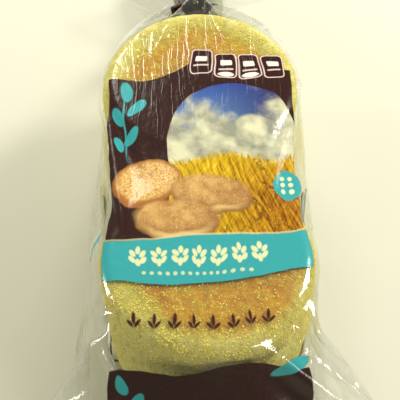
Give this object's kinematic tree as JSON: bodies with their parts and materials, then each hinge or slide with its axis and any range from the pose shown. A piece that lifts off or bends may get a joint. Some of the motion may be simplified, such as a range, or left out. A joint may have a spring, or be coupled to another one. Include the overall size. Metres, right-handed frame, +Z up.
{
  "type": "bag of english muffins",
  "caption": "Clear printed film bag holding two stacks of griddled round bread muffins, closed flat at one end and gathered into a clipped neck at the other.",
  "frame": {"origin": "middle of the base of the pack's box, on the surface that it lies on", "axes": "+Z up, +Y along the pack from its closed end to its gathered neck, +X across it"},
  "size_m": [0.161, 0.293, 0.0718],
  "materials": {
    "film": "clear printed polyethylene film over pale and toasted bread",
    "clip": "pale flat plastic",
    "muffin": "griddled bread crust dusted with cornmeal"
  },
  "bodies": {
    "root": {"bag": "film", "closure_clip": "clip"}
  },
  "joints": []
}
